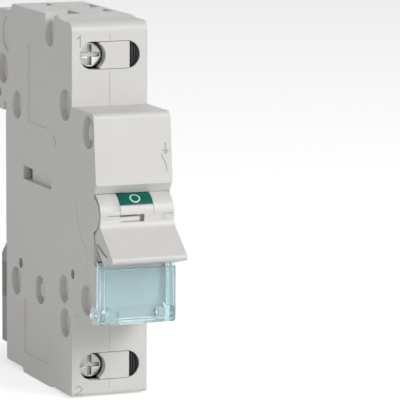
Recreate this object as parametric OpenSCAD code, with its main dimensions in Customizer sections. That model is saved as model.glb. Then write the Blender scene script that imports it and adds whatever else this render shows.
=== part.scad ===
// One module of a DIN rail switch disconnector, 17.5 mm wide.
// Origin: centre of the face that rests on the rail. +X right, front towards -Y, +Z up.
// Side profiles are drawn as (d, z), where d is the distance in front of the rail.

/* [Housing] */
// Width of the module
body_w = 17.5; // [17:0.1:18]
// Height from the bottom foot to the raised top
body_h = 83; // [81:0.5:86]
// Rail face to the terminal faces
shoulder_d = 44; // [43:0.5:45.5]
// How far the nose stands out from the terminal faces
nose_out = 13.6; // [13.4:0.1:14]
// Height of the nose that shows through a distribution board's cover
nose_h = 45; // [44.5:0.1:45.5]
// Thickness of the side walls
wall = 2.0; // [1.9:0.1:2.2]
// Depth of the round recesses in the sides
recess_depth = 1.5; // [1.4:0.1:1.7]

/* [Rail mount] */
// Height of the rail
rail_h = 35; // [34.8:0.1:35.2]
// Depth of the slot behind the rail's upper edge
rail_slot = 1.4; // [1.2:0.1:1.6]
// How far the rail clip slides down
clip_travel = 4; // [3.5:0.1:4.2]

/* [Lever] */
// Radius of the lever's barrel
barrel_r = 4.5; // [4.3:0.1:4.6]
// Diameter of the pivot pin
pivot_d = 2.4; // [2:0.1:2.8]
// Crank pin's distance from the pivot
crank_r = 5; // [4.9:0.05:5.1]
// Turn of the lever between the two positions, degrees
lever_turn = 80; // [76:1:82]

/* [Terminals] */
// Height of the openings over the screws
opening_h = 6.1; // [5.8:0.1:6.4]
// Diameter of the terminal screw's shank
screw_d = 4; // [3.5:0.1:4]
// Clamping travel of the terminal cage
cage_travel = 4; // [3:0.5:4]

/* [Clearances] */
// Radial clearance of a shaft in its hole
run_gap = 0.05; // [0.03:0.01:0.08]
// Gap between sliding faces
slide_gap = 0.15; // [0.1:0.05:0.2]

/* [Hidden] */
$fn = 48;
// Widths are drawn for a module of 17.5 mm and spread with body_w
half = 17.5 / 2;
spread = body_w / (2 * half);
foot_drop = 83 - body_h;
shoulder_shift = shoulder_d - 44;
nose_shift = shoulder_shift + nose_out - 13.6;
top_z = 41.1;
foot_z = -41.9;
nose_z = nose_h / 2;
pivot_at = [56.4, 0.9];
crank_a0 = 180 - lever_turn / 2;
crank_at = [pivot_at[0] + crank_r * cos(crank_a0), pivot_at[1] + crank_r * sin(crank_a0)];
throw = 2 * crank_r * sin(lever_turn / 2);
inner = half - wall;
cup_x = inner - 0.9;
rail_top = rail_h / 2;
screw_x = -3.9;
pole_x = -3.0;
terminal_up = 33.4;
terminal_low = -34.9;
tip_top = -5;
tip_gap = throw + 0.08;
bridge_z = tip_top + tip_gap + 1;
window_axis = [57.4, -20.9];
window_half = 8.65;
window_lug_r = 2.05;
lever_half = 8.5;
lever_core = 7.35;
boss_r = 3.85;
seam = 0.05;
insert_x = inner + 0.25;
insert_front = 43.2;
tongue_low = -29;
channel_low = tongue_low - 7.6 - clip_travel;
cage_back = 25 - cage_travel;
cage_front = 39.5 - cage_travel;
rivet_at = [[54.2, 18.2], [23.2, -21.1]];

// Round recesses of each side as [d, z, radius]
left_recesses = [[-1.9, 25.8, 3.4], [7.8, 18.6, 3.1], [39.6, 22.4, 3.5], [54.2, 18.2, 3.5],
  [6.9, -21.7, 3.2], [23.2, -21.1, 3.2], [38.7, -18.3, 3.0], [52.9, -18.3, 3.3], [39.5, -25.6, 3.2]];
left_pits = [[-4, 20.3, 1.0], [10.1, -17.1, 1.2], [44.5, -14, 1.1]];
right_recesses = [[54.2, 18.2, 3.5], [7.8, 18.6, 3.1], [6.9, -21.7, 3.2], [23.2, -21.1, 3.2]];

// Places as drawn for the usual module, moved to where the driving dimensions put them
function xx(x) = x * spread;
function dd(d) = d <= 6 ? d
  : d <= 30 ? d + shoulder_shift * (d - 6) / 24
  : d <= 45 ? d + shoulder_shift
  : d <= 50 ? d + shoulder_shift + (nose_shift - shoulder_shift) * (d - 45) / 5
  : d + nose_shift;
function zz(z) = z < -nose_h / 2 - 0.5 ? z + foot_drop : z;
function at(points) = [for (p = points) [dd(p[0]), zz(p[1])]];

// Solid between x0 and x1 whose outline is drawn as (d, z)
module slab(x0, x1) {
  translate([xx(x1), 0, 0]) rotate([90, 0, -90]) linear_extrude(xx(x1 - x0)) children();
}

// Block from its limits in x, d and z
module blk(x0, x1, d0, d1, z0, z1) {
  translate([xx(x0), -dd(d1), zz(z0)]) cube([xx(x1 - x0), dd(d1) - dd(d0), zz(z1) - zz(z0)]);
}

// Round bar along Y between d0 and d1
module rod_y(x, z, r, d0, d1) {
  translate([xx(x), -dd(d1), zz(z)]) rotate([-90, 0, 0]) cylinder(h = dd(d1) - dd(d0), r = r);
}

// Round bar along X between x0 and x1, at (d, z)
module rod_x(p, r, x0, x1) {
  translate([xx(x0), -dd(p[0]), zz(p[1])]) rotate([0, 90, 0]) cylinder(h = xx(x1 - x0), r = r);
}

// Disc of a side outline, at (d, z)
module disc(p, r) { translate([dd(p[0]), zz(p[1])]) circle(r = r); }

// Points of an arc from angle a0 to a1
function arc(c, r, a0, a1, n = 8) =
  [for (i = [0:n]) let (a = a0 + (a1 - a0) * i / n) [c[0] + r * cos(a), c[1] + r * sin(a)]];

// Coil along +Z made of half turns, each tilted by half the pitch
module coil(r, wire, h, turns) {
  step = h / turns / 2;
  tilt = atan(step / (2 * r));
  for (i = [0:2 * turns - 1])
    translate([0, 0, i * step + step / 2])
      rotate([0, 0, i % 2 == 0 ? 0 : 180]) rotate([0, tilt, 0])
        rotate_extrude(angle = 180, $fn = 24) translate([r, 0]) circle(r = wire, $fn = 16);
  for (i = [0:2 * turns])
    translate([i % 2 == 0 ? r : -r, 0, i * step]) sphere(r = wire * 1.02, $fn = 16);
}

// Ring that closes the end of a coil
module end_ring(r, wire, z) {
  translate([0, 0, z]) rotate_extrude(angle = 360, $fn = 24) translate([r, 0]) circle(r = wire, $fn = 16);
}

// Housing outlines

// Whole side outline of the module, without the lever and the window
module outline_2d() {
  polygon(at(concat(
    [[0, -13.8], [0, 16], [0.3, 16], [0.3, rail_top + 0.8], [-rail_slot, rail_top + 0.8],
      [-rail_slot, rail_top - 1.1]],
    arc([-3.7, rail_top + 0.5], 1.6, -90, -180),
    [[-5.3, 39.4], [3.6, 39.4], [4.2, top_z], [35, top_z], [36.5, 40.6]],
    arc([42, 38.6], 2, 90, 0),
    [[44, nose_z]],
    arc([56.4, nose_z - 1.2], 1.2, 90, 5),
    [[59.1, 7.3], [57.55, 5.5]],
    [[57.2, 4.2], [57.2, -2.4], [57.5, -4.4], [57.5, -9.6], [59, -10.4], [59, -19.6]],
    [[57.8, -21.6], [56.4, -nose_z]],
    [[44, -nose_z]],
    arc([43, -40.4], 1, 0, -90),
    [[32.5, -41.4], [29.8, foot_z], [11.5, foot_z], [11, foot_z + 0.8], [0.3, foot_z + 0.8], [0.3, -13.8]]
  )));
  disc(pivot_at, boss_r);
}

// Front boundary of the middle part, behind the lever and the window
module front_relief_2d() {
  polygon(at([[62, 4.6], [61.5, 5.35], [57.3, 5.3], [57.2, -4.6], [57.3, -9.6], [57.3, -19.2],
    [56.2, -nose_z - 0.2], [62, -nose_z - 0.2]]));
}

// Bore in which the barrel turns, with its way in from the front
module barrel_room_2d() {
  disc(pivot_at, barrel_r + 0.12);
  polygon(at([[57.5, 5.35], [62, 5.35], [62, -4.2], [56.4, -4.2]]));
}

// Ring-shaped room for the barrel's rims, round the bosses that hold the pin
module rim_room_2d() {
  difference() {
    barrel_room_2d();
    disc(pivot_at, boss_r - 0.05);
  }
}

// Hollow of the terminals and the switch
module hollow_2d() {
  polygon(at([[6, -39.9], [42.2, -39.4], [42.2, -20.6], [55.2, -20.6], [55.2, 20.7], [42.2, 20.7],
    [42.2, 38.6], [6, 38.6]]));
}

module hook_hollow_2d() {
  polygon(at([[-3.7, 20], [4.6, 20], [4.6, 37.6], [-3.7, 37.6]]));
}

// Screw opening with round ends, seen from the front, as (x, z)
module stadium_2d(zc, gap = 0) {
  r = opening_h / 2 - gap;
  translate([xx(screw_x), zz(zc)]) circle(r = r);
  translate([xx(-screw_x), zz(zc)]) circle(r = r);
  translate([xx(screw_x), zz(zc) - r]) square([xx(-2 * screw_x), 2 * r]);
}

// Solid along Y whose outline is drawn as (x, z)
module front_slab(d0, d1) {
  translate([0, -dd(d0), 0]) rotate([90, 0, 0]) linear_extrude(dd(d1) - dd(d0)) children();
}

// Cups that close the recesses of one side from inside
module cups(s, places) {
  slab(s > 0 ? cup_x : -inner - 0.2, s > 0 ? inner + 0.2 : -cup_x) intersection() {
    outline_2d();
    union() for (q = places) disc([q[0], q[1]], q[2] + 0.8);
  }
}

// Narrow band between two radii of an arc, as an outline
module arc_band_2d(c, r0, r1, a0, a1) {
  polygon(at(concat(arc(c, r1, a0, a1, 10), arc(c, r0, a1, a0, 10))));
}

// Fine lines of the left side: edge of the inner mechanism plate, and a short mark
module side_lines_2d() {
  w = 0.14;
  arc_band_2d([56, 1.6], 8.9 - w / 2, 8.9 + w / 2, 176, 250);
  polygon(at([[52.9, -6.7], [53.04, -6.82], [54.2, -9.6], [54.2, -14.5], [54.06, -14.5], [54.06, -9.6]]));
  polygon(at([[31.9, 14.8], [32.2, 15], [33.35, 13.9], [33.85, 12.5], [33.55, 12.5], [33.05, 13.7]]));
}

// Recesses, label fields and openings of the left side
module left_side_cuts() {
  x0 = -half - 1;
  x1 = -half + recess_depth;
  for (q = left_recesses) rod_x([q[0], q[1]], q[2], x0, x1);
  for (q = left_pits) rod_x([q[0], q[1]], q[2], x0, q[0] < 0 ? x1 - 0.3 : -inner + 0.1);
  rod_x([1.3, 34.1], 3.9, x0, -half + 0.4);
  blk(x0, -half + 0.25, 15.1, 27.6, 15.7, 33.3);
  blk(x0, -half + 0.25, 12.4, 29.3, -37.1, -25);
  // finger groove that runs out at the top
  blk(x0, -half + 1.4, 26.9, 32.4, 36.85, top_z + 1);
  rod_x([29.65, 36.85], 2.75, x0, -half + 1.4);
  // long recess with a slit into the switch chamber and two blind holes
  blk(x0, -half + 1.2, 12, 30.5, 2.45, 5.4);
  blk(x0, -inner + 0.1, 12, 14.8, 2.45, 5.4);
  for (z = [3.1, 4.8]) rod_x([28.6, z], 0.4, x0, -inner - 0.1);
  slab(x0, -half + 0.15) side_lines_2d();
}

module right_side_cuts() {
  for (q = right_recesses) rod_x([q[0], q[1]], q[2], half - recess_depth, half + 1);
}

// Pocket in the top: a ramp that falls towards the front, and a deeper end on the right
module top_pocket(x0, x1, d0, d1) {
  slab(x0, x1) polygon(at([[d0, top_z], [d1, top_z - 0.9], [d1, top_z + 1], [d0, top_z + 1]]));
  blk(x1 - 0.7, x1, d0 + 0.3, d1 - 0.3, top_z - 1.5, top_z + 1);
}

// Fine groove where the two halves meet
module seam_groove() {
  blk(-seam, seam, 43.85, 45, nose_z, 38);
  blk(-seam, seam, 43.85, 45, -40, -nose_z);
  blk(-seam, seam, 5, 34.8, top_z - 0.15, top_z + 1);
  blk(-seam, seam, 44, 55.8, nose_z - 0.15, nose_z + 1);
  blk(-seam, seam, 44, 55.8, -nose_z - 1, -nose_z + 0.15);
  blk(-seam, seam, 12, 29.6, foot_z - 1, foot_z + 0.15);
}

// Cuts that both halves share: openings, clip channel, window and lever room
module shared_cuts() {
  for (zc = [terminal_up, terminal_low]) {
    front_slab(41, 44.5) stadium_2d(zc);
    // seat of the insert behind the opening's thin lip
    blk(4.6, insert_x + 0.05, 37.9, insert_front + 0.1, zc - 3.3, zc + 3.3);
  }
  // wire entries above and below
  blk(-5.95, -1.4, 23, 29.6, 36, top_z + 1);
  blk(-5.95, -1.4, 23, 29.6, foot_z - 1, -38);
  // lead-in behind the upper wire entry
  slab(-7.4, -1.4) polygon(at([[21.6, top_z], [23.2, top_z - 1.6], [29.6, top_z - 1.6], [29.6, top_z + 1],
    [21.6, top_z + 1]]));
  top_pocket(4.2, 7.2, 20.8, 26.6);
  top_pocket(3.6, 7.6, 11, 17.4);
  top_pocket(-2.6, -0.6, 5.4, 10.6);
  seam_groove();
  // rail clip channel
  blk(-5.3, 5.3, -1, 4, channel_low, -18);
  // lever room
  slab(-lever_core - slide_gap, lever_core + slide_gap) barrel_room_2d();
  slab(-half + 0.3, half - 0.3) rim_room_2d();
  slab(-7.1, 7.1) front_relief_2d();
  rod_x(pivot_at, pivot_d / 2 + run_gap, -half + 0.35, half - 0.35);
  // room for the window's rounded lower ends
  for (a = [-half - 1, 7.1]) rod_x(window_axis, window_lug_r + 0.25, a, a + half - 6.1);
}

module solid_half(x0, x1) {
  difference() {
    slab(x0, x1) outline_2d();
    slab(max(x0, -inner), min(x1, inner)) hollow_2d();
    slab(max(x0, -inner), min(x1, inner)) hook_hollow_2d();
    shared_cuts();
  }
}

// Ribs that guide the carriage and hold the fixed parts
module ribs(s) {
  a = s > 0 ? 2.6 + slide_gap : -inner - 0.2;
  b = s > 0 ? inner + 0.2 : -5.6 - slide_gap;
  // pad of the carriage's side
  blk(a, b, 22, 34, -2, 20);
  // posts before and behind the carriage
  c = s > 0 ? 0.3 : -inner - 0.2;
  e = s > 0 ? inner + 0.2 : -5.4;
  blk(c, e, 21, 22.9 - slide_gap, -4, 20);
  if (s < 0) blk(c, e, 33.1 + slide_gap, 35, -2, 20);
  else blk(3.0, e, 33.1 + slide_gap, 35, -2, 20);
}

module rivet_boss(s, p) {
  rod_x(p, 2.65, s > 0 ? 0 : -inner - 0.2, s > 0 ? inner + 0.2 : 0);
}

module half_shell(s) {
  x0 = s > 0 ? 0 : -half;
  x1 = s > 0 ? half : 0;
  difference() {
    union() {
      solid_half(x0, x1);
      ribs(s);
      for (p = rivet_at) rivet_boss(s, p);
      cups(s, s > 0 ? right_recesses : left_recesses);
      // ledge under the opening spring
      blk(s > 0 ? 0 : -inner - 0.2, s > 0 ? 2 : 0, 26, 30, -14, -12.2);
      blk(s > 0 ? 0.0 : -inner - 0.2, s > 0 ? inner + 0.2 : -6.0, 26, 30, -16, -12.2);
      // shelf that the upper and lower strips rest against
      if (s < 0) {
        blk(-inner - 0.2, -5.2, 9, 12 - 0.05, -6, 22);
        blk(-inner - 0.2, -0.8, 36, 39.8 - 0.05, -26.7, -22);
      }
      // stops behind the cover plates
      if (s > 0) for (zc = [terminal_up, terminal_low], e = [-1, 1])
        blk(3.4, inner + 0.2, 38.8, 40.4, zc + e * 3.8 - 0.5, zc + e * 3.8 + 0.5);
      // lugs for the window's pins
      rod_x(window_axis, 1.45, s > 0 ? 5.4 : -7.05, s > 0 ? 7.05 : -5.4);
      blk(s > 0 ? 5.4 : -7.05, s > 0 ? 7.05 : -5.4, 56, window_axis[0], window_axis[1] - 1.3,
        window_axis[1] + 1.3);
    }
    rod_x(window_axis, 0.7 + run_gap, s > 0 ? 5 : -8, s > 0 ? 8 : -5);
    for (p = rivet_at) rod_x(p, 1.2 + run_gap, -half - 1, half + 1);
  }
}

module left_housing() color("LightGrey") difference() { half_shell(-1); left_side_cuts(); }
module right_housing() color("LightGrey") difference() { half_shell(1); right_side_cuts(); }

// Rivet with a flat head in each side's recess
module rivet(p) {
  floor_x = half - recess_depth;
  rod_x(p, 1.2, -floor_x, floor_x);
  rod_x(p, 1.7, -floor_x - 0.8, -floor_x);
  rod_x(p, 1.7, floor_x, floor_x + 0.8);
}
module housing_rivet_upper() color("Silver") rivet(rivet_at[0]);
module housing_rivet_lower() color("Silver") rivet(rivet_at[1]);

// Lever

// Paddle's top line from the barrel to the tip, and back below
paddle_line = concat(arc([63.4, -0.1], 2.6, 180, 234), [[64.4, -4.1]],
  arc([67.7, -7.5], 0.75, 52, -72, 6), [[62.9, -9.4], [58, -5.35]]);

// Paddle's side outline, outside the barrel's radius
module paddle_2d() {
  difference() {
    polygon(at(concat([pivot_at], paddle_line)));
    disc(pivot_at, boss_r + 0.08);
  }
}

// Sector of the barrel between two angles, from radius r0 to r1
module sector_2d(r0, r1, a0, a1) {
  polygon(at(concat(arc(pivot_at, r1, a0, a1, 12), arc(pivot_at, r0, a1, a0, 12))));
}

// Back of the barrel that the carriage's fork reaches into, through the whole turn
module fork_room_2d() {
  difference() {
    polygon(at(concat(arc(pivot_at, 2.5, 95, 218, 10), arc(pivot_at, 7, 218, 95, 10))));
    disc(crank_at, 1);
  }
}

// Rims of the barrel, which run round the bosses of the housing
module barrel_rim_2d() {
  difference() {
    disc(pivot_at, barrel_r);
    disc(pivot_at, boss_r + 0.08);
  }
}

// Slot in the barrel's front, open to a rounded bar and a deeper end, and one open to the side
module lever_notches() {
  blk(-6.6, -3.8, 60.4, 63, 0.75, 1.1);
  difference() {
    blk(-3.85, 1.6, 59, 63, -0.5, 1.1);
    rod_x([60, 0.05], 0.65, -4, 0.6);
  }
  blk(5.7, half + 1, 60.55, 63, -0.3, 1.1);
}

module toggle_lever() color("Gainsboro") difference() {
  union() {
    rod_x(pivot_at, barrel_r, -lever_core, lever_core);
    slab(-half + 0.4, half - 0.4) barrel_rim_2d();
    slab(-lever_half, lever_half) difference() {
      paddle_2d();
      disc(pivot_at, barrel_r + 0.15);
    }
    slab(-half + 0.4, half - 0.4) paddle_2d();
    // crank cheek behind the barrel
    slab(-3.2, -0.4) polygon(at([[56.4, 4.6], [56.4, -3.2], [crank_at[0] - 0.6, crank_at[1] - 1.6],
      [crank_at[0] - 1.2, crank_at[1] + 0.4], [crank_at[0] + 0.2, crank_at[1] + 1.3]]));
    rod_x(crank_at, 1, -1, 2.6);
  }
  rod_x(pivot_at, pivot_d / 2, -half, half);
  // room in the barrel's back for the carriage's fork
  slab(-0.4, 3) fork_room_2d();
  // seat of the indicator, and the fine gaps of the strip below it
  slab(-3.85, 3.85) sector_2d(3.4, 6, 29.4, 92);
  for (x = [-3.85, 3.75]) slab(x, x + 0.1) sector_2d(4.2, 6, 3, 29.6);
  lever_notches();
  // narrow slot along each side of the paddle
  for (a = [-half, half - 1.2])
    slab(a, a + 1.2)
      polygon(at([[59.2, -4.9], [61.6, -5.8], [65.2, -6.9], [65.1, -7.4], [61.4, -6.4], [59, -5.4]]));
}

module lever_pivot_pin() color("Silver") rod_x(pivot_at, pivot_d / 2, -half + 0.4, half - 0.4);

module position_indicator() color("SeaGreen") slab(-3.8, 3.8) sector_2d(3.42, barrel_r, 30, 91.5);

// Label window

// Side wall of the window, with the round end that turns on the housing's lug
module window_side_2d() {
  polygon(at([[59.2, -8.8], [60.1, -9.1], [61, -10.4], [61, -21.9], [60.4, -22.6], [57.9, -22.8],
    [57.9, -19.4], [59.2, -19.4]]));
  disc(window_axis, window_lug_r);
}

module label_window() color("LightBlue", 0.6) {
  difference() {
    union() {
      slab(-window_half, window_half) polygon(at([[60.5, -10.5], [61.5, -10.6], [61.5, -21.6],
        [60.7, -22.6], [59.9, -22.6], [60.5, -21.6]]));
      for (a = [-window_half, 7.25]) {
        slab(a, a + window_half - 7.25) window_side_2d();
      }
      for (a = [-7.3, 5.8]) rod_x(window_axis, 0.7, a, a + 1.5);
      blk(-4.9, 4.9, 58.8, 60.7, -22.6, -21.5);
    }
    // parting of the lower band into three
    for (x = [-4.9, 4.3]) blk(x, x + 0.3, 61.25, 62, -23, -19.5);
    blk(-window_half + 1.1, window_half - 1.1, 61.35, 62, -19.6, -19.4);
  }
}

// Rail clip

module rail_clip() color("DimGray") {
  difference() {
    slab(-8.1, 8.1) polygon(at([[-0.2, -rail_top - 0.7], [-rail_slot, -rail_top - 0.7],
      [-rail_slot, -14.6], [-2.2, -14.2], [-5.3, -17], [-5.3, -37.7], [-0.2, -37.7]]));
    for (i = [0:4]) blk(-9, -7.95, -4.6 + i * 0.9, -4.2 + i * 0.9, -27, -19);
    // slot for a screwdriver's blade
    blk(-3, 3, -6, -3, -36, -33.5);
  }
  blk(-5, 5, -0.2, 3.4, tongue_low, -19);
}

module rail_clip_spring() color("Silver") translate([0, -2, zz(channel_low) + 0.35]) {
  long = tongue_low - channel_low - 0.7;
  coil(1.3, 0.25, long, 7);
  end_ring(1.3, 0.25, 0);
  end_ring(1.3, 0.25, long);
}

// Terminals

module terminal_screw(zc) {
  difference() {
    union() {
      rod_y(screw_x, zc, screw_d / 2 * spread, 31.4, 40.4);
      rod_y(screw_x, zc, 2.7 * spread, 39.7, 41.9);
    }
    blk(screw_x - 2.2, screw_x + 2.2, 40.7, 43, zc - 0.4, zc + 0.4);
    blk(screw_x - 0.4, screw_x + 0.4, 40.7, 43, zc - 2.2, zc + 2.2);
  }
}
module upper_terminal_screw() color("Silver") terminal_screw(terminal_up);
module lower_terminal_screw() color("Silver") terminal_screw(terminal_low);

// Cage drawn at rest, open; its rear wall rises behind the wire
module terminal_cage(zc) {
  difference() {
    blk(-6.65, -0.8, cage_back, cage_front, zc - 4, zc + 4);
    blk(-5.95, -1.5, cage_back + 1.2, cage_front - 2.5, zc - 5, zc + 5);
    rod_y(screw_x, zc, screw_d / 2 * spread + run_gap, 32, 37);
  }
}
module upper_terminal_cage() color("Goldenrod") terminal_cage(terminal_up);
module lower_terminal_cage() color("Goldenrod") terminal_cage(terminal_low);

// Plate in the opening beside the screw, with a flange behind the wall
module cover_plate(zc) {
  front_slab(41.9, 43.95) difference() {
    intersection() {
      stadium_2d(zc, 0.12);
      translate([xx(-2.3), zz(zc) - 4]) square([xx(6.87), 8]);
    }
    translate([xx(screw_x), zz(zc)]) circle(r = 2.95);
  }
  front_slab(40.5, 42) translate([xx(-0.85), zz(zc) - 3.6]) square([xx(5.42), 7.2]);
}
module upper_cover_plate() color("LightGrey") cover_plate(terminal_up);
module lower_cover_plate() color("LightGrey") cover_plate(terminal_low);

// Dark piece with upright ribs behind the open end of each screw opening
module opening_insert(zc) {
  difference() {
    blk(4.65, insert_x, 38, insert_front, zc - 3.2, zc + 3.2);
    for (x = [5, 5.6, 6.2]) blk(x, x + 0.25, insert_front - 0.4, insert_front + 1, zc - 3.5, zc + 3.5);
  }
}
module upper_opening_insert() color("DimGray") opening_insert(terminal_up);
module lower_opening_insert() color("DimGray") opening_insert(terminal_low);

// Contacts

module upper_contact_strip() color("Peru") {
  a = -5.1; b = -1.9;
  blk(a, b, 30, 31.2, 24, 37.6);
  blk(a, b, 12, 31.2, 24, 25.2);
  blk(a, b, 12, 13.2, tip_top - 2.2, 25.2);
  blk(a, b, 12, 20.4, tip_top - 2.2, tip_top - 1);
}
module lower_contact_strip() color("Peru") {
  a = -5.1; b = -1.9;
  blk(a, b, 30, 31.2, -38.6, -26.8);
  blk(a, b, 30, 41, -28, -26.8);
  blk(a, b, 39.8, 41, -28, tip_top - 1);
  blk(a, b, 35.6, 41, tip_top - 2.2, tip_top - 1);
}
module tip(d, z) {
  translate([xx(pole_x - 0.5), -dd(d), z]) cylinder(h = 1, r = 1.5);
}
module upper_contact_tip() color("Silver") tip(18, tip_top - 1);
module lower_contact_tip() color("Silver") tip(38, tip_top - 1);

module contact_carriage() color("Ivory") {
  difference() {
    union() {
      blk(-5.6, 2.6, 22.9, 33.1, bridge_z - 2.4, bridge_z + 8);
      // arm to the crank
      blk(0.1, 2.6, 33, crank_at[0] + 0.7, crank_at[1] - 2.2, crank_at[1] + 2.2);
    }
    // window for the bridge and its spring
    blk(-5.7, -0.1, 24, 32, bridge_z - 0.05, bridge_z + 6.4);
    blk(-5.2, -1.8, 22, 34, bridge_z - 0.05, bridge_z + 2.6);
    blk(-5.7, -0.1, 22, 26.4, bridge_z - 3, bridge_z);
    blk(-5.7, -0.1, 29.6, 34, bridge_z - 3, bridge_z);
    // slot in which the crank's pin slides
    blk(-1, 3, crank_at[0] - 2.4, crank_at[0] + 1, crank_at[1] - 1.3, crank_at[1] + 1.3);
  }
}
module contact_bridge() color("Peru") blk(-5.1, -1.9, 16.4, 39.6, bridge_z, bridge_z + 1.2);
module bridge_tip_rear() color("Silver") tip(18, bridge_z - 1);
module bridge_tip_front() color("Silver") tip(38, bridge_z - 1);

module contact_spring() color("Silver") translate([xx(pole_x - 0.5), -dd(28), bridge_z + 1.2 + 0.3]) {
  coil(1.4, 0.25, 4.6, 4);
  end_ring(1.4, 0.25, 0);
  end_ring(1.4, 0.25, 4.6);
}
module opening_spring() color("Silver") translate([xx(-1.6), -dd(28), -12.2 + 0.35]) {
  coil(1.5, 0.3, bridge_z - 2.4 + 12.2 - 0.7, 6);
  end_ring(1.5, 0.3, 0);
  end_ring(1.5, 0.3, bridge_z - 2.4 + 12.2 - 0.7);
}

left_housing();
right_housing();
housing_rivet_upper();
housing_rivet_lower();
toggle_lever();
lever_pivot_pin();
position_indicator();
label_window();
rail_clip();
rail_clip_spring();
upper_terminal_screw();
lower_terminal_screw();
upper_terminal_cage();
lower_terminal_cage();
upper_cover_plate();
lower_cover_plate();
upper_opening_insert();
lower_opening_insert();
upper_contact_strip();
lower_contact_strip();
upper_contact_tip();
lower_contact_tip();
contact_carriage();
contact_bridge();
bridge_tip_rear();
bridge_tip_front();
contact_spring();
opening_spring();
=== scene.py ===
"""Looks of a one-module DIN rail switch disconnector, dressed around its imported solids.

Lengths are metres in the part's own frame: the origin is the middle of the face that rests on the
rail, +X points right, -Y out of the front and +Z up. Side profiles are given as (d, z), where d is
the distance in front of the rail, so y = -d.
"""
from __future__ import annotations

import logging
import math
from dataclasses import dataclass, field
from enum import Enum

import bmesh
import bpy
import numpy as np
from mathutils import Matrix, Vector


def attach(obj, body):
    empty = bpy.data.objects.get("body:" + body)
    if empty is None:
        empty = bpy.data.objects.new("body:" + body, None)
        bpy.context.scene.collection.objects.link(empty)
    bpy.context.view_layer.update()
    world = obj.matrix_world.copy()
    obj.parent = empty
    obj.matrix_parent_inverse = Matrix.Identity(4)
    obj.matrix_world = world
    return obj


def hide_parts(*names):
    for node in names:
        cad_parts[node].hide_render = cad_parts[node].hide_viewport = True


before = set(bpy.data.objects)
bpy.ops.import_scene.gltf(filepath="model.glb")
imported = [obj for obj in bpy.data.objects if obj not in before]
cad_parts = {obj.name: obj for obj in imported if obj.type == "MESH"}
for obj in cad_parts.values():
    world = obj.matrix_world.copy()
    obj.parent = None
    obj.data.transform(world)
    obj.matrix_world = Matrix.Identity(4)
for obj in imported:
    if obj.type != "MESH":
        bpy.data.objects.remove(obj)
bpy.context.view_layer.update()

MM = 0.001
# Points closer than this are one point, in a copy of a solid and in a made surface
MERGE_SOLID = 2e-7
MERGE_SURFACE = 1e-7
# Neighbouring faces of a solid that turn less than this many degrees become one face
JOIN_ANGLE = 1.0
# Faces smaller than this are shaded smooth, up to edges that turn more than these many degrees
FLAT_AREA = 14 * MM * MM
CRISP_SOLID = 28.0
CRISP_SURFACE = 40.0
# An edge is rounded if it turns by this many degrees and its neighbours are longer than this many widths
ROUND_ANGLE = 35.0
ROUND_ROOM = 1.8
# An edge with an end this close to the plane x = 0 belongs to the parting groove and stays sharp
GROOVE_KEEP = 0.12 * MM
# The least length along X of a face that runs across the part, and the most of one that faces sideways
ACROSS_LEAST = 3 * MM
SIDE_MOST = 0.01 * MM
log = logging.getLogger("switch")


class Body(Enum):
    """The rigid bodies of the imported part, by name."""

    HOUSING = "housing"
    LEVER = "lever"
    CARRIAGE = "carriage"
    BRIDGE = "bridge"
    WINDOW = "window"
    CLIP = "clip"
    UPPER_SCREW = "upper_screw"
    LOWER_SCREW = "lower_screw"
    UPPER_CAGE = "upper_cage"
    LOWER_CAGE = "lower_cage"


# Shader groups and finishes


def group_sockets(tree: bpy.types.NodeTree, ins: dict[str, tuple[str, object]],
                  outs: dict[str, str]) -> None:
    """Adds named sockets to a shader group.

    Args:
        tree: the group's node tree.
        ins: name to (socket type, default value) for each input.
        outs: name to socket type for each output.
    """
    for name, (kind, value) in ins.items():
        tree.interface.new_socket(name, in_out="INPUT", socket_type=kind).default_value = value
    for name, kind in outs.items():
        tree.interface.new_socket(name, in_out="OUTPUT", socket_type=kind)


class Graph:
    """A node tree with short calls that add and link nodes."""

    def __init__(self, tree: bpy.types.NodeTree) -> None:
        """Wraps a node tree.

        Args:
            tree: the tree of a material or group.
        """
        self.tree = tree

    def add(self, kind: str, values: dict | None = None, links: dict | None = None,
            **attrs) -> bpy.types.Node:
        """Adds a node, sets its sockets and links sockets into it.

        Args:
            kind: the node's type name without its prefix.
            values: socket name or index to its value.
            links: socket name or index to the output that feeds it.
            **attrs: attributes of the node itself.

        Returns:
            The new node.
        """
        node = self.tree.nodes.new("ShaderNode" + kind)
        for key, value in attrs.items():
            setattr(node, key, value)
        for key, value in (values or {}).items():
            node.inputs[key].default_value = value
        for key, source in (links or {}).items():
            self.tree.links.new(source, node.inputs[key])
        return node

    def seen_directly(self) -> bpy.types.NodeSocket:
        """Adds the test for rays that come from the camera, a glossy reflection or a clear piece.

        Returns:
            The output that is 1 for such rays and 0 for the others.
        """
        path = self.add("LightPath")
        seen = self.add("Math", None, {0: path.outputs["Is Camera Ray"], 1: path.outputs["Is Glossy Ray"]},
                        operation="MAXIMUM")
        through = self.add("Math", None, {0: seen.outputs[0], 1: path.outputs["Is Transmission Ray"]},
                           operation="MAXIMUM")
        return through.outputs[0]


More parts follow.
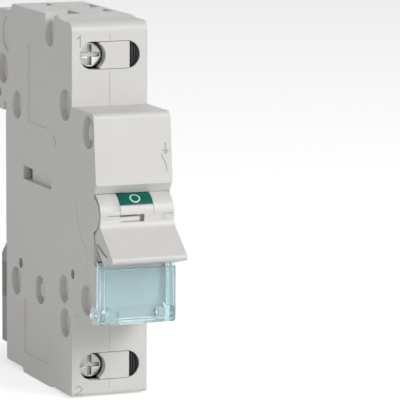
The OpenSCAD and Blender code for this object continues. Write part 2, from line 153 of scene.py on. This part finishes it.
def moulded_grain_group() -> bpy.types.NodeTree:
    """Builds the group for the spark-eroded grain of moulded plastic.

    Height is a fine noise. A coarse noise makes Shade wander by a few percent round the colour, and
    Rough follows the same coarse noise.

    Returns:
        The group's node tree.
    """
    tree = bpy.data.node_groups.new("moulded_grain", "ShaderNodeTree")
    group_sockets(
        tree,
        {"Colour": ("NodeSocketColor", (0.7, 0.7, 0.7, 1)), "Variation": ("NodeSocketFloat", 0.05),
         "Grain Scale": ("NodeSocketFloat", 3000.0), "Roughness": ("NodeSocketFloat", 0.5)},
        {"Shade": "NodeSocketColor", "Rough": "NodeSocketFloat", "Height": "NodeSocketFloat"},
    )
    g = Graph(tree)
    source = tree.nodes.new("NodeGroupInput")
    sink = tree.nodes.new("NodeGroupOutput")
    where = g.add("TexCoord").outputs["Object"]
    fine = g.add("TexNoise", {"Detail": 3.0}, {"Vector": where, "Scale": source.outputs["Grain Scale"]})
    cloud = g.add("TexNoise", {"Scale": 110.0, "Detail": 4.0, "Roughness": 0.6}, {"Vector": where})
    level = g.add("MapRange", {"From Min": 0.3, "From Max": 0.7, "To Min": -1.0, "To Max": 1.0},
                  {"Value": cloud.outputs["Fac"]})
    drift = g.add("Math", None, {0: level.outputs[0], 1: source.outputs["Variation"]}, operation="MULTIPLY")
    gain = g.add("Math", {1: 1.0}, {0: drift.outputs[0]}, operation="ADD")
    hsv = g.add("HueSaturation", None, {"Value": gain.outputs[0], "Color": source.outputs["Colour"]})
    wander = g.add("Math", {1: 0.06}, {0: level.outputs[0]}, operation="MULTIPLY")
    rough = g.add("Math", None, {0: wander.outputs[0], 1: source.outputs["Roughness"]}, operation="ADD")
    tree.links.new(hsv.outputs["Color"], sink.inputs["Shade"])
    tree.links.new(rough.outputs[0], sink.inputs["Rough"])
    tree.links.new(fine.outputs["Fac"], sink.inputs["Height"])
    return tree


def drawn_metal_group() -> bpy.types.NodeTree:
    """Builds the group for drawn or brushed metal: noise stretched along one axis.

    Returns:
        The group's node tree.
    """
    tree = bpy.data.node_groups.new("drawn_metal", "ShaderNodeTree")
    group_sockets(
        tree,
        {"Colour": ("NodeSocketColor", (0.6, 0.6, 0.6, 1)), "Roughness": ("NodeSocketFloat", 0.3),
         "Line Scale": ("NodeSocketFloat", 4000.0)},
        {"Shade": "NodeSocketColor", "Rough": "NodeSocketFloat", "Height": "NodeSocketFloat"},
    )
    g = Graph(tree)
    source = tree.nodes.new("NodeGroupInput")
    sink = tree.nodes.new("NodeGroupOutput")
    where = g.add("TexCoord").outputs["Object"]
    along = g.add("Mapping", {"Scale": (1.0, 0.06, 1.0)}, {"Vector": where})
    lines = g.add("TexNoise", {"Detail": 2.0},
                  {"Vector": along.outputs[0], "Scale": source.outputs["Line Scale"]})
    spots = g.add("TexNoise", {"Scale": 500.0, "Detail": 5.0}, {"Vector": where})
    dull = g.add("MapRange", {"From Min": 0.35, "From Max": 0.7, "To Min": 0.86, "To Max": 1.08},
                 {"Value": spots.outputs["Fac"]})
    hsv = g.add("HueSaturation", None, {"Value": dull.outputs[0], "Color": source.outputs["Colour"]})
    part = g.add("MapRange", {"To Min": -0.08, "To Max": 0.10}, {"Value": lines.outputs["Fac"]})
    rough = g.add("Math", None, {0: part.outputs[0], 1: source.outputs["Roughness"]}, operation="ADD")
    tree.links.new(hsv.outputs["Color"], sink.inputs["Shade"])
    tree.links.new(rough.outputs[0], sink.inputs["Rough"])
    tree.links.new(lines.outputs["Fac"], sink.inputs["Height"])
    return tree


@dataclass(frozen=True)
class Finish:
    """A surface finish: its colour, gloss and grain, and the record's slot it belongs to.

    The relief is in millimetres and the bump is the strength of the grain.
    """

    name: str
    slot: str
    colour: tuple[float, float, float]
    roughness: float = 0.5
    grain: float = 3000.0
    relief: float = 0.010
    variation: float = 0.03
    metal: bool = False
    clear: float = 0.0
    shine: float = 0.5
    bump: float = 0.35
    ior: float = 1.49

    def material(self) -> bpy.types.Material:
        """Makes the finish's material once, and gives it back on later calls.

        The label keeps it apart from the frame's plain material of the same slot.

        Returns:
            The Blender material.
        """
        label = self.name + "_finish"
        found = bpy.data.materials.get(label)
        if found is not None:
            return found
        mat = bpy.data.materials.new(label)
        mat.use_nodes = True
        shader = mat.node_tree.nodes["Principled BSDF"]
        g = Graph(mat.node_tree)
        kind = "drawn_metal" if self.metal else "moulded_grain"
        skin = g.add("Group", node_tree=bpy.data.node_groups[kind])
        skin.inputs["Colour"].default_value = (*self.colour, 1.0)
        skin.inputs["Roughness"].default_value = self.roughness
        if self.metal:
            skin.inputs["Line Scale"].default_value = self.grain
        else:
            skin.inputs["Grain Scale"].default_value = self.grain
            skin.inputs["Variation"].default_value = self.variation
        bump = g.add("Bump", {"Strength": self.bump, "Distance": self.relief * MM},
                     {"Height": skin.outputs["Height"]})
        links = mat.node_tree.links
        links.new(skin.outputs["Shade"], shader.inputs["Base Color"])
        links.new(skin.outputs["Rough"], shader.inputs["Roughness"])
        links.new(bump.outputs["Normal"], shader.inputs["Normal"])
        shader.inputs["Metallic"].default_value = 1.0 if self.metal else 0.0
        shader.inputs["IOR"].default_value = self.ior
        shader.inputs["Specular IOR Level"].default_value = self.shine
        shader.inputs["Transmission Weight"].default_value = self.clear
        return mat


HOUSING = Finish("housing_plastic", "housing_plastic", (0.69, 0.68, 0.66), 0.44, 2600, 0.016, 0.015)
LEVER = Finish("lever_plastic", "lever_plastic", (0.69, 0.68, 0.665), 0.38, 3200, 0.010, 0.015)
RIVET = Finish("rivet_plastic", "rivet_plastic", (0.66, 0.65, 0.63), 0.42, 3000, 0.012, 0.02)
GREEN = Finish("green_plastic", "green_plastic", (0.003, 0.120, 0.086), 0.36, 3200, 0.010, 0.06, shine=0.15)
WINDOW = Finish("clear_window", "clear_window", (0.77, 0.93, 0.97), 0.03, 900, 0.0, 0.02, clear=0.98)
# The clip's grey is far darker than the housing's: painted shade, standing in for the shadow that falls on
# the clip's left face.
CLIP = Finish("clip_plastic", "clip_plastic", (0.30, 0.30, 0.295), 0.46, 2400, 0.016, 0.04)
# Near black: painted shade, so that the opening inserts stand for the dark inside of the terminal openings.
INSERT_PAINTED_SHADE = Finish("insert_plastic", "insert_plastic", (0.012, 0.012, 0.012), 0.40, 2400, 0.010, 0.04)
CARRIAGE = Finish("carriage_plastic", "carriage_plastic", (0.60, 0.56, 0.47), 0.5, 2400, 0.02, 0.04)
PIN = Finish("pin_steel", "pin_steel", (0.60, 0.60, 0.61), 0.30, 5200, 0.006, metal=True)
SCREW = Finish("screw_steel", "screw_steel", (0.42, 0.42, 0.41), 0.24, 900, 0.10, metal=True)
CAGE = Finish("cage_steel", "cage_steel", (0.62, 0.56, 0.40), 0.32, 4200, 0.006, metal=True)
SPRING = Finish("spring_steel", "spring_steel", (0.50, 0.50, 0.50), 0.30, 6000, 0.004, metal=True)
COPPER = Finish("copper", "copper", (0.80, 0.42, 0.28), 0.30, 4000, 0.006, metal=True)
SILVER = Finish("contact_silver", "contact_silver", (0.88, 0.87, 0.84), 0.24, 5000, 0.004, metal=True)
GREY_PRINT = Finish("grey_print", "housing_plastic", (0.40, 0.40, 0.40), 0.45, 4000, 0.004, 0.05)
PALE_PRINT = Finish("pale_print", "green_plastic", (0.52, 0.80, 0.70), 0.45, 4000, 0.004, 0.03)


# Mesh making


def grid_faces(rows: int, cols: int, wrap_rows: bool, wrap_cols: bool) -> np.ndarray:
    """Numbers the quads of a grid of points.

    Point (i, j) has number i * cols + j, and each quad joins it to its next neighbours.

    Args:
        rows: points along the first parameter.
        cols: points along the second parameter.
        wrap_rows: joins the last row to the first.
        wrap_cols: joins the last column to the first.

    Returns:
        An array of quads, one in each row.
    """
    i = np.arange(rows if wrap_rows else rows - 1)
    j = np.arange(cols if wrap_cols else cols - 1)
    a, b = np.meshgrid(i, j, indexing="ij")
    a2, b2 = (a + 1) % rows, (b + 1) % cols
    quads = np.stack([a * cols + b, a * cols + b2, a2 * cols + b2, a2 * cols + b], axis=-1)
    return quads.reshape(-1, 4)


@dataclass
class Workshop:
    """Puts meshes and solids into the scene and reports each one."""

    made: list[str] = field(default_factory=list)

    def enter(self, obj: bpy.types.Object, finish: Finish, body: Body,
              replaces: tuple[str, ...] = ()) -> None:
        """Gives a piece its finish and body.

        Args:
            obj: the piece, at the origin.
            finish: its finish.
            body: the body it rides on.
            replaces: the CAD nodes that it stands for.
        """
        obj.data.materials.clear()
        obj.data.materials.append(finish.material())
        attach(obj, body.value)
        if replaces:
            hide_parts(*replaces)
        self.made.append(obj.name)
        log.info("piece %s: %d faces, on %s", obj.name, len(obj.data.polygons), body.value)

    def surface(self, name: str, points: np.ndarray, faces: list, finish: Finish,
                body: Body) -> bpy.types.Object:
        """Makes a piece from points and faces.

        Args:
            name: the piece's name.
            points: its points, one in each row.
            faces: its faces as lists of point numbers.
            finish: its finish.
            body: the body it rides on.

        Returns:
            The new object.
        """
        mesh = bpy.data.meshes.new(name)
        mesh.from_pydata(points.tolist(), [], [list(map(int, f)) for f in faces])
        edit = bmesh.new()
        edit.from_mesh(mesh)
        bmesh.ops.remove_doubles(edit, verts=edit.verts, dist=MERGE_SURFACE)
        bmesh.ops.recalc_face_normals(edit, faces=edit.faces)
        edit.to_mesh(mesh)
        edit.free()
        obj = bpy.data.objects.new(name, mesh)
        bpy.context.scene.collection.objects.link(obj)
        shade(mesh, CRISP_SURFACE)
        self.enter(obj, finish, body)
        return obj

    def soften(self, node: str, finish: Finish, body: Body, bevel: float, segments: int = 2,
               outline: float = 0.0) -> bpy.types.Object:
        """Stands a softened copy in a CAD node's place: doubles merged, flats joined, edges rounded.

        Args:
            node: the CAD node.
            finish: the copy's finish.
            body: the body it rides on.
            bevel: the width of the rounded edges, or 0 for none.
            segments: steps across the rounded edge.
            outline: the width at the edges of faces that run across the part, or 0 for the same width.

        Returns:
            The new object.
        """
        edit = self.copy_of(node)
        if outline > 0:
            round_edges(edit, outline, segments, across=True)
        if bevel > 0:
            round_edges(edit, bevel, segments)
        return self.stand_in(node, edit, finish, body)

    def copy_of(self, node: str) -> bmesh.types.BMesh:
        """Opens a copy of a CAD node's mesh, with its doubles merged and its flats joined.

        Args:
            node: the CAD node.

        Returns:
            The mesh, open for editing.
        """
        edit = bmesh.new()
        edit.from_mesh(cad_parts[node].data)
        bmesh.ops.remove_doubles(edit, verts=edit.verts, dist=MERGE_SOLID)
        bmesh.ops.dissolve_limit(edit, angle_limit=math.radians(JOIN_ANGLE), verts=edit.verts,
                                 edges=edit.edges)
        return edit

    def stand_in(self, node: str, edit: bmesh.types.BMesh, finish: Finish, body: Body) -> bpy.types.Object:
        """Stores an edited mesh and stands it in its CAD node's place.

        Args:
            node: the CAD node.
            edit: the edited mesh, which is freed.
            finish: the piece's finish.
            body: the body it rides on.

        Returns:
            The new object.
        """
        mesh = bpy.data.meshes.new(node + "_soft")
        edit.to_mesh(mesh)
        edit.free()
        obj = bpy.data.objects.new(node + "_soft", mesh)
        bpy.context.scene.collection.objects.link(obj)
        shade(mesh, CRISP_SOLID)
        self.enter(obj, finish, body, (node,))
        return obj

    def paint(self, node: str, finish: Finish) -> None:
        """Gives a CAD node that stays in view its finish.

        Args:
            node: the CAD node.
            finish: its finish.
        """
        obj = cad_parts[node]
        for place in obj.material_slots:
            place.material = finish.material()
        self.made.append(node)
        log.info("node %s: %s", node, finish.name)


def shade(mesh: bpy.types.Mesh, degrees: float) -> None:
    """Shades a mesh smooth, but keeps its large flats plain and its edges sharper than an angle crisp.

    Args:
        mesh: the mesh.
        degrees: the angle.
    """
    mesh.set_sharp_from_angle(angle=math.radians(degrees))
    small = np.array([face.area for face in mesh.polygons]) < FLAT_AREA
    mesh.polygons.foreach_set("use_smooth", small)


def round_edges(edit: bmesh.types.BMesh, width: float, segments: int, across: bool = False) -> None:
    """Rounds the outward edges of a mesh that have room for it, as moulding leaves them.

    An edge has room if every edge that meets it is longer than ROUND_ROOM widths. Edges that
    touch the fine parting groove at x = 0 stay sharp.

    Args:
        edit: the mesh being edited.
        width: the rounding's width.
        segments: its steps.
        across: rounds only edges between a face that looks sideways and one that runs across the
            part.
    """
    chosen = []
    least = math.radians(ROUND_ANGLE)
    for edge in edit.edges:
        if len(edge.link_faces) != 2 or not edge.is_convex or edge.calc_face_angle(0.0) < least:
            continue
        a, b = edge.verts
        if min(abs(a.co.x), abs(b.co.x)) < GROOVE_KEEP:
            continue
        if across:
            spans = [max(v.co.x for v in f.verts) - min(v.co.x for v in f.verts) for f in edge.link_faces]
            if max(spans) < ACROSS_LEAST or min(spans) > SIDE_MOST:
                continue
        if all(e.calc_length() > ROUND_ROOM * width for v in (a, b) for e in v.link_edges if e is not edge):
            chosen.append(edge)
    if chosen:
        bmesh.ops.bevel(edit, geom=chosen, offset=width, segments=segments, profile=0.5, affect="EDGES",
                        clamp_overlap=False)


def stroke_outline(path: np.ndarray, width: float, closed: bool = False) -> tuple[np.ndarray, np.ndarray]:
    """Offsets a flat path to both sides by half a width.

    At each point the offset runs along the mean normal of its two stretches, lengthened by one over
    the cosine of half the turn, so the stroke keeps its width round a corner.

    Args:
        path: points (u, v), one in each row.
        width: the stroke's width.
        closed: joins the end to the start.

    Returns:
        The left and the right points.
    """
    ahead = np.roll(path, -1, axis=0) - path
    if not closed:
        ahead[-1] = ahead[-2]
    ahead /= np.linalg.norm(ahead, axis=1, keepdims=True)
    behind = np.roll(ahead, 1, axis=0)
    if not closed:
        behind[0] = ahead[0]
    mean = ahead + behind
    mean /= np.linalg.norm(mean, axis=1, keepdims=True)
    normal = np.stack([-mean[:, 1], mean[:, 0]], axis=1)
    reach = width / 2 / np.clip((mean * ahead).sum(axis=1), 0.3, 1.0)
    return path + normal * reach[:, None], path - normal * reach[:, None]


def stroke_solid(path: np.ndarray, width: float, thick: float, place, closed: bool = False) -> tuple:
    """Makes a printed stroke as a thin closed bar that lies on a surface.

    The bar's section is a rectangle carried along the path; place maps (u, v, height) onto the part.

    Args:
        path: points (u, v) in metres, one in each row.
        width: the stroke's width.
        thick: how far it stands from the surface; it also goes as deep into it.
        place: function from arrays u, v, h to points.
        closed: joins the end to the start.

    Returns:
        The points and the faces.
    """
    left, right = stroke_outline(path, width, closed)
    count = len(path)
    ring = [(left, thick), (right, thick), (right, -thick), (left, -thick)]
    points = np.stack([place(side[:, 0], side[:, 1], np.full(count, h)) for side, h in ring], axis=1)
    faces = grid_faces(count, 4, closed, True).tolist()
    if not closed:
        faces += [[3, 2, 1, 0], [4 * count - 4 + k for k in range(4)]]
    return points.reshape(-1, 3), faces


def threaded_shank(radius: float, depth: float, pitch: float, length: float, sides: int = 32,
                   per_turn: int = 8) -> tuple[np.ndarray, list]:
    """Makes the shank of a screw along +Z, with a helical thread and closed ends.

    The radius falls from the crest by the depth times how far a point is from the crest line, so
    r(a, z) = radius - depth * |2 frac(z / pitch - a / 2 pi) - 1|, and both ends taper to the root.

    Args:
        radius: the crest's radius.
        depth: the thread's depth.
        pitch: the rise of one turn.
        length: the shank's length.
        sides: points round the shank.
        per_turn: points along one pitch.

    Returns:
        The points and the faces.
    """
    rows = int(length / pitch * per_turn) + 1
    a, z = np.meshgrid(np.linspace(0, 2 * np.pi, sides, endpoint=False), np.linspace(0, length, rows))
    slope = np.abs(2 * np.mod(z / pitch - a / (2 * np.pi), 1.0) - 1)
    taper = np.clip(np.minimum(z, length - z) / pitch, 0, 1)
    r = radius - depth * (1 - (1 - slope) * taper)
    points = np.stack([r * np.cos(a), r * np.sin(a), z], axis=-1).reshape(-1, 3)
    faces = grid_faces(rows, sides, False, True).tolist()
    last = (rows - 1) * sides
    faces += [list(range(sides))[::-1], [last + k for k in range(sides)]]
    return points, faces


# Sub-assemblies


@dataclass
class Housing:
    """The two halves of the moulded casing with their rivets, cover plates, inserts and marks."""

    edge: float = 0.12 * MM
    outline: float = 0.40 * MM
    plate_edge: float = 0.15 * MM
    insert_edge: float = 0.06 * MM
    rivet_edge: float = 0.25 * MM
    pin_edge: float = 0.2 * MM
    sign_stroke: float = 0.17 * MM
    number_stroke: float = 0.26 * MM
    face_d: float = 44.0 * MM
    print_up: float = 0.015 * MM
    panel_top: tuple[float, float] = (57.6 * MM, 22.5 * MM)
    panel_lean: float = 1.5 / 15.2

    def build(self, shop: Workshop) -> None:
        """Dresses the halves, rivets, plates and inserts, and prints the marks.

        Args:
            shop: the workshop.
        """
        for node in ("left_housing", "right_housing"):
            shop.soften(node, HOUSING, Body.HOUSING, self.edge, 2, self.outline)
        for node in ("upper_cover_plate", "lower_cover_plate"):
            shop.soften(node, HOUSING, Body.HOUSING, self.plate_edge)
        # The opening inserts take the near-black painted shade that stands for the dark inside of the
        # openings.
        for node in ("upper_opening_insert", "lower_opening_insert"):
            shop.soften(node, INSERT_PAINTED_SHADE, Body.HOUSING, self.insert_edge)
        for node in ("housing_rivet_upper", "housing_rivet_lower"):
            shop.soften(node, RIVET, Body.HOUSING, self.rivet_edge, 3)
        shop.soften("lever_pivot_pin", PIN, Body.HOUSING, self.pin_edge)
        self.numbers(shop)
        self.symbol(shop)

    def symbol(self, shop: Workshop) -> None:
        """Prints the general sign for a switch disconnector on the sloping panel.

        Args:
            shop: the workshop.
        """
        ring = np.linspace(0, 2 * np.pi, 16, endpoint=False)
        circle = np.stack([7.35 + 0.28 * np.cos(ring), 13.85 + 0.28 * np.sin(ring)], axis=1)
        strokes = {
            "sign_fixed_contact": (np.array([[7.35, 15.9], [7.35, 14.3]]), False),
            "sign_bar": (np.array([[6.55, 14.25], [8.1, 14.25]]), False),
            "sign_circle": (circle, True),
            "sign_blade": (np.array([[6.35, 13.4], [7.45, 11.1], [7.45, 9.7]]), False),
        }
        for name, (path, closed) in strokes.items():
            points, faces = stroke_solid(path * MM, self.sign_stroke, self.print_up, self.on_panel, closed)
            shop.surface(name, points, faces, GREY_PRINT, Body.HOUSING)

    def numbers(self, shop: Workshop) -> None:
        """Prints the plain terminal numbers 1 and 2 beside the openings.

        Args:
            shop: the workshop.
        """
        one = np.array([[-7.5, 37.1], [-6.8, 37.75], [-6.8, 35.2]])
        bow = np.radians(np.linspace(160, -40, 9))
        top = np.stack([-7.2 + 0.72 * np.cos(bow), -39.75 + 0.62 * np.sin(bow)], axis=1)
        two = np.concatenate([top, [[-7.95, -41.0], [-6.4, -41.0]]])
        for name, path in (("number_one", one), ("number_two", two)):
            points, faces = stroke_solid(path * MM, self.number_stroke, self.print_up, self.on_face)
            shop.surface(name, points, faces, GREY_PRINT, Body.HOUSING)

    def on_panel(self, u: np.ndarray, v: np.ndarray, h: np.ndarray) -> np.ndarray:
        """Lays flat points on the panel, which leans out as it goes down.

        Args:
            u: place along X.
            v: place along Z.
            h: height above the panel.

        Returns:
            The points.
        """
        lean = (self.panel_top[1] - v) * self.panel_lean
        return np.stack([u, -(self.panel_top[0] + lean + h), v], axis=1)

    def on_face(self, u: np.ndarray, v: np.ndarray, h: np.ndarray) -> np.ndarray:
        """Lays flat points on the upright terminal faces.

        Args:
            u: place along X.
            v: place along Z.
            h: height above the face.

        Returns:
            The points.
        """
        return np.stack([u, -self.face_d - h, v], axis=1)


@dataclass
class Lever:
    """The toggle with its green position strip and the ring on it."""

    pivot: tuple[float, float] = (56.4 * MM, 0.9 * MM)
    barrel: float = 4.5 * MM
    outline: float = 0.4 * MM
    strip_edge: float = 0.05 * MM
    ring_angle: float = 50.5
    ring_radius: float = 1.04 * MM
    ring_stroke: float = 0.34 * MM
    print_up: float = 0.02 * MM

    def build(self, shop: Workshop) -> None:
        """Dresses the lever and the strip, and prints the ring.

        Args:
            shop: the workshop.
        """
        shop.soften("toggle_lever", LEVER, Body.LEVER, 0.0, 3, self.outline)
        shop.soften("position_indicator", GREEN, Body.LEVER, self.strip_edge)
        turn = np.linspace(0, 2 * np.pi, 40, endpoint=False)
        path = np.stack([self.ring_radius * np.cos(turn), self.ring_radius * np.sin(turn)], axis=1)
        points, faces = stroke_solid(path, self.ring_stroke, self.print_up, self.on_barrel, True)
        shop.surface("off_ring", points, faces, PALE_PRINT, Body.LEVER)

    def on_barrel(self, u: np.ndarray, v: np.ndarray, h: np.ndarray) -> np.ndarray:
        """Wraps flat points round the barrel: v is arc length, so the angle is v over the radius.

        Args:
            u: place along X.
            v: arc length from the ring's centre.
            h: height above the barrel.

        Returns:
            The points.
        """
        angle = math.radians(self.ring_angle) + v / self.barrel
        reach = self.barrel + h
        d, z = self.pivot[0] + reach * np.cos(angle), self.pivot[1] + reach * np.sin(angle)
        return np.stack([u, -d, z], axis=1)


@dataclass
class Window:
    """The clear flap over the label field."""

    edge: float = 0.2 * MM

    def build(self, shop: Workshop) -> None:
        """Dresses the flap.

        Args:
            shop: the workshop.
        """
        shop.soften("label_window", WINDOW, Body.WINDOW, self.edge, 3)


@dataclass
class RailClip:
    """The sliding foot that holds the rail's lower edge, with its spring."""

    edge: float = 0.15 * MM
    outline: float = 0.4 * MM

    def build(self, shop: Workshop) -> None:
        """Dresses the clip and its spring.

        Args:
            shop: the workshop.
        """
        shop.soften("rail_clip", CLIP, Body.CLIP, self.edge, 2, self.outline)
        shop.paint("rail_clip_spring", SPRING)


@dataclass
class Terminals:
    """The screws, cages and strips of the two terminals."""

    screw_x: float = -3.9 * MM
    levels: tuple[float, float] = (33.4 * MM, -34.9 * MM)
    shank_d: tuple[float, float] = (31.4 * MM, 39.9 * MM)
    shank_radius: float = 2.0 * MM
    thread_depth: float = 0.42 * MM
    pitch: float = 0.8 * MM
    tip_reach: float = 0.1 * MM
    head_edge: float = 0.14 * MM
    cage_edge: float = 0.2 * MM
    contact_edge: float = 0.15 * MM

    def build(self, shop: Workshop) -> None:
        """Dresses both terminals.

        Args:
            shop: the workshop.
        """
        rows = zip(("upper", "lower"), self.levels, (Body.UPPER_SCREW, Body.LOWER_SCREW),
                   (Body.UPPER_CAGE, Body.LOWER_CAGE))
        for side, level, screw, cage in rows:
            self.screw(shop, f"{side}_terminal_screw", level, screw)
            shop.soften(f"{side}_terminal_cage", CAGE, cage, self.cage_edge)
            shop.soften(f"{side}_contact_strip", COPPER, Body.HOUSING, self.contact_edge)
            shop.soften(f"{side}_contact_tip", SILVER, Body.HOUSING, self.contact_edge, 3)

    def screw(self, shop: Workshop, node: str, level: float, body: Body) -> None:
        """Cuts the thread: the plain shank of a screw gives way to a threaded one of the same crest.

        Args:
            shop: the workshop.
            node: the screw's CAD node.
            level: the height of its axis.
            body: the body it rides on.
        """
        edit = shop.copy_of(node)
        tip = [v for v in edit.verts if -v.co.y < self.shank_d[0] + self.tip_reach]
        bmesh.ops.delete(edit, geom=tip, context="VERTS")
        bmesh.ops.holes_fill(edit, edges=[e for e in edit.edges if e.is_boundary])
        round_edges(edit, self.head_edge, 3)
        long = self.shank_d[1] - self.shank_d[0]
        points, faces = threaded_shank(self.shank_radius, self.thread_depth, self.pitch, long)
        x, y, z = self.screw_x + points[:, 0], -self.shank_d[0] - points[:, 2], level + points[:, 1]
        placed = np.stack([x, y, z], axis=1)
        shank = bpy.data.meshes.new(node + "_shank")
        shank.from_pydata(placed.tolist(), [], faces)
        edit.from_mesh(shank)
        bpy.data.meshes.remove(shank)
        bmesh.ops.recalc_face_normals(edit, faces=edit.faces)
        shop.stand_in(node, edit, SCREW, body)


@dataclass
class SwitchWork:
    """The carriage, the bridge that it carries and their springs."""

    edge: float = 0.15 * MM

    def build(self, shop: Workshop) -> None:
        """Dresses the moving contact work.

        Args:
            shop: the workshop.
        """
        shop.soften("contact_carriage", CARRIAGE, Body.CARRIAGE, self.edge)
        shop.soften("contact_bridge", COPPER, Body.BRIDGE, self.edge)
        for tip in ("bridge_tip_rear", "bridge_tip_front"):
            shop.soften(tip, SILVER, Body.BRIDGE, self.edge, 3)
        shop.paint("contact_spring", SPRING)
        shop.paint("opening_spring", SPRING)


@dataclass
class Studio:
    """The floor, the lamps, the white surroundings and the camera."""

    eye: tuple[float, float, float] = (-0.2684, -0.7607, 0.1204)
    yaw: float = 22.0
    pitch: float = 8.81
    roll: float = 0.28
    lens: float = 320.6
    floor_z: float = -41.9 * MM
    floor_reach: float = 6.0
    floor_glow: float = 0.55
    sky_light: float = 0.15
    aim: tuple[float, float, float] = (0.0, -0.03, 0.0)

    def build(self) -> None:
        """Makes the whole studio."""
        self.camera()
        self.floor()
        self.world()
        self.lamp("key", (0.45, -0.85, 0.55), 0.50, 6.4)
        self.lamp("front", (-0.10, -1.0, 0.20), 0.60, 1.8)
        self.lamp("left", (-0.95, -0.05, 0.30), 0.60, 1.25)
        self.lamp("top", (0.0, 0.25, 0.9), 0.70, 1.0)
        bpy.context.scene.view_settings.view_transform = "Standard"

    def camera(self) -> None:
        """Places the camera at the photograph's viewing angle."""
        data = bpy.data.cameras.new("camera")
        data.lens = self.lens
        data.sensor_width = 36.0
        data.clip_start = 0.01
        cam = bpy.data.objects.new("camera", data)
        bpy.context.scene.collection.objects.link(cam)
        turn = Matrix.Rotation(-math.radians(self.yaw), 4, "Z")
        tilt = Matrix.Rotation(math.radians(90 - self.pitch), 4, "X")
        roll = Matrix.Rotation(math.radians(self.roll), 4, "Z")
        cam.matrix_world = Matrix.Translation(self.eye) @ turn @ tilt @ roll
        bpy.context.scene.camera = cam

    def lamp(self, name: str, place: tuple, size: float, power: float) -> None:
        """Hangs a soft square lamp that looks at the part.

        Args:
            name: the lamp's name.
            place: where it hangs.
            size: its side.
            power: its watts.
        """
        data = bpy.data.lights.new(name, "AREA")
        data.size = size
        data.energy = power
        obj = bpy.data.objects.new(name, data)
        bpy.context.scene.collection.objects.link(obj)
        obj.location = place
        obj.rotation_euler = (Vector(self.aim) - Vector(place)).to_track_quat("-Z", "Y").to_euler()

    def floor(self) -> None:
        """Lays the pale floor, whose glow shows to the camera, in reflections and through clear pieces."""
        mesh = bpy.data.meshes.new("floor")
        reach = self.floor_reach
        corners = [(-reach, -reach), (reach, -reach), (reach, reach), (-reach, reach)]
        mesh.from_pydata([(x, y, self.floor_z) for x, y in corners], [], [(0, 1, 2, 3)])
        obj = bpy.data.objects.new("floor", mesh)
        bpy.context.scene.collection.objects.link(obj)
        mat = bpy.data.materials.new("floor_white")
        mat.use_nodes = True
        g = Graph(mat.node_tree)
        shader = mat.node_tree.nodes["Principled BSDF"]
        shader.inputs["Base Color"].default_value = (0.9, 0.9, 0.9, 1)
        shader.inputs["Roughness"].default_value = 0.9
        white = g.add("Math", {1: self.floor_glow}, {0: g.seen_directly()}, operation="MULTIPLY")
        mat.node_tree.links.new(white.outputs[0], shader.inputs["Emission Strength"])
        shader.inputs["Emission Color"].default_value = (1, 1, 1, 1)
        mesh.materials.append(mat)

    def world(self) -> None:
        """Fills the surroundings: white to the camera and to reflections, dim as a light."""
        world = bpy.data.worlds.new("surroundings")
        bpy.context.scene.world = world
        world.use_nodes = True
        g = Graph(world.node_tree)
        back = world.node_tree.nodes["Background"]
        level = g.add("MapRange", {"To Min": self.sky_light, "To Max": 1.0}, {"Value": g.seen_directly()})
        back.inputs["Color"].default_value = (1, 1, 1, 1)
        world.node_tree.links.new(level.outputs[0], back.inputs["Strength"])


def main() -> None:
    """Builds every sub-assembly in order, then the studio, and logs how many pieces were dressed."""
    logging.basicConfig(level=logging.INFO, format="%(name)s: %(message)s")
    moulded_grain_group()
    drawn_metal_group()
    shop = Workshop()
    for part in (Housing(), Lever(), Window(), RailClip(), Terminals(), SwitchWork()):
        part.build(shop)
    Studio().build()
    log.info("%d pieces dressed", len(shop.made))


if __name__ == "__main__":
    main()
